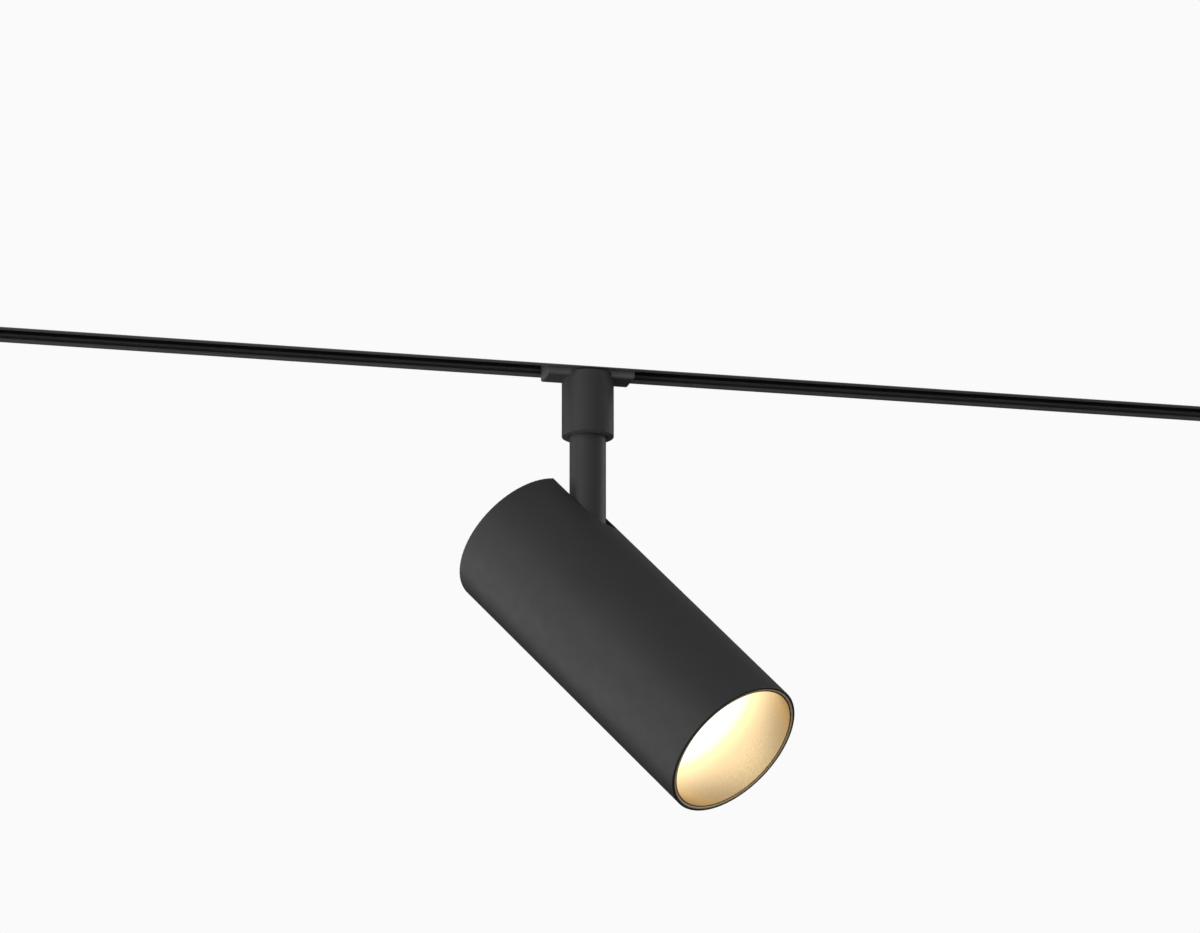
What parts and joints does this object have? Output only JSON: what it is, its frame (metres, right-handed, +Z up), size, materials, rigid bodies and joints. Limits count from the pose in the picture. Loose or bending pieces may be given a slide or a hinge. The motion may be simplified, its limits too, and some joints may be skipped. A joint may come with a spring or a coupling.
{
  "type": "track lighting fixture",
  "caption": "Cylindrical spotlight that slides, turns and tilts on a short ceiling track, with its adapter, driver and light engine inside.",
  "frame": {"origin": "on the track's top face, above the axis of the stem at rest", "axes": "+X along the track towards its closed end, +Z up into the ceiling"},
  "size_m": [0.716, 0.1422, 0.2378],
  "materials": {
    "black_paint": "fine satin powder coat",
    "track_paint": "satin powder coat",
    "black_plastic": "moulded, matt",
    "insulator": "extruded, matt",
    "copper": "drawn copper",
    "brass": "bright",
    "steel": "zinc plated",
    "cast_aluminium": "die cast",
    "sink_aluminium": "extruded",
    "nylon": "natural",
    "circuit_board": "solder mask",
    "component_black": "moulded",
    "component_sleeve": "shrink sleeve",
    "silicone_grey": "soft pad",
    "black_rubber": "moulded",
    "wire": "insulated wire",
    "led_white": "white solder mask",
    "phosphor": "phosphor dome",
    "mirror_coat": "vacuum metallised",
    "diffuser": "opal, lit",
    "gold_paint": "fine gold finish"
  },
  "bodies": {
    "track": {"track_profile": "track_paint", "carrier_near": "insulator", "carrier_far": "insulator", "strip_line": "copper", "strip_neutral": "copper", "dead_end_cap": "black_plastic", "feed_housing": "black_plastic", "feed_blades": "brass", "feed_terminal_block": "component_black", "feed_terminal_screws": "steel", "end_screws": "steel"},
    "adapter": {"adapter_housing": "black_plastic", "adapter_cover": "black_plastic", "contact_board": "circuit_board", "contact_line": "brass", "contact_neutral": "brass", "latch_spring": "steel", "collar": "black_paint", "collar_screws": "steel", "pan_bushing": "nylon", "pan_washer": "steel", "pan_wave_spring": "steel", "pan_stop_pin": "steel", "adapter_lead": "wire"},
    "latch": {"latch_slide": "steel"},
    "stem": {"stem_tube": "black_paint", "stem_nut": "steel", "stem_stop_pin": "steel", "stem_lead": "wire"},
    "head": {"head_tube": "black_paint", "rear_cap": "black_paint", "rear_cap_screws": "steel", "pivot_bracket": "cast_aluminium", "bracket_screws": "steel", "pivot_pin": "steel", "pivot_nut": "steel", "pivot_washers": "steel", "lead_grommet": "black_rubber", "tie_rods": "steel", "driver_board": "circuit_board", "driver_transformer": "component_black", "driver_capacitors": "component_sleeve", "driver_coils": "copper", "head_lead": "wire", "heat_sink": "sink_aluminium", "thermal_pad": "silicone_grey", "led_board": "led_white", "led_emitter": "phosphor", "led_holder": "component_black", "led_screws": "steel", "led_lead": "wire", "reflector": "mirror_coat", "diffuser_lens": "diffuser", "lens_gasket": "silicone_grey", "baffle_liner": "gold_paint"}
  },
  "joints": [
    {"name": "track_slide", "type": "slide", "parent": "track", "child": "adapter", "axis": [1, 0, 0], "range_m": [-0.29, 0.29]},
    {"name": "latch_press", "type": "slide", "parent": "adapter", "child": "latch", "axis": [0, 1, 0], "range_m": [0, 0.0022], "stiffness_N_per_m": 400, "springref_m": -0.003},
    {"name": "pan", "type": "hinge", "parent": "adapter", "child": "stem", "pos_m": [0, 0, -0.0539], "axis": [0, 0, 1], "range_deg": [-165, 165]},
    {"name": "tilt", "type": "hinge", "parent": "stem", "child": "head", "pos_m": [0, 0, -0.1009], "axis": [0.7071, 0.7071, 0], "range_deg": [-45, 45]}
  ]
}
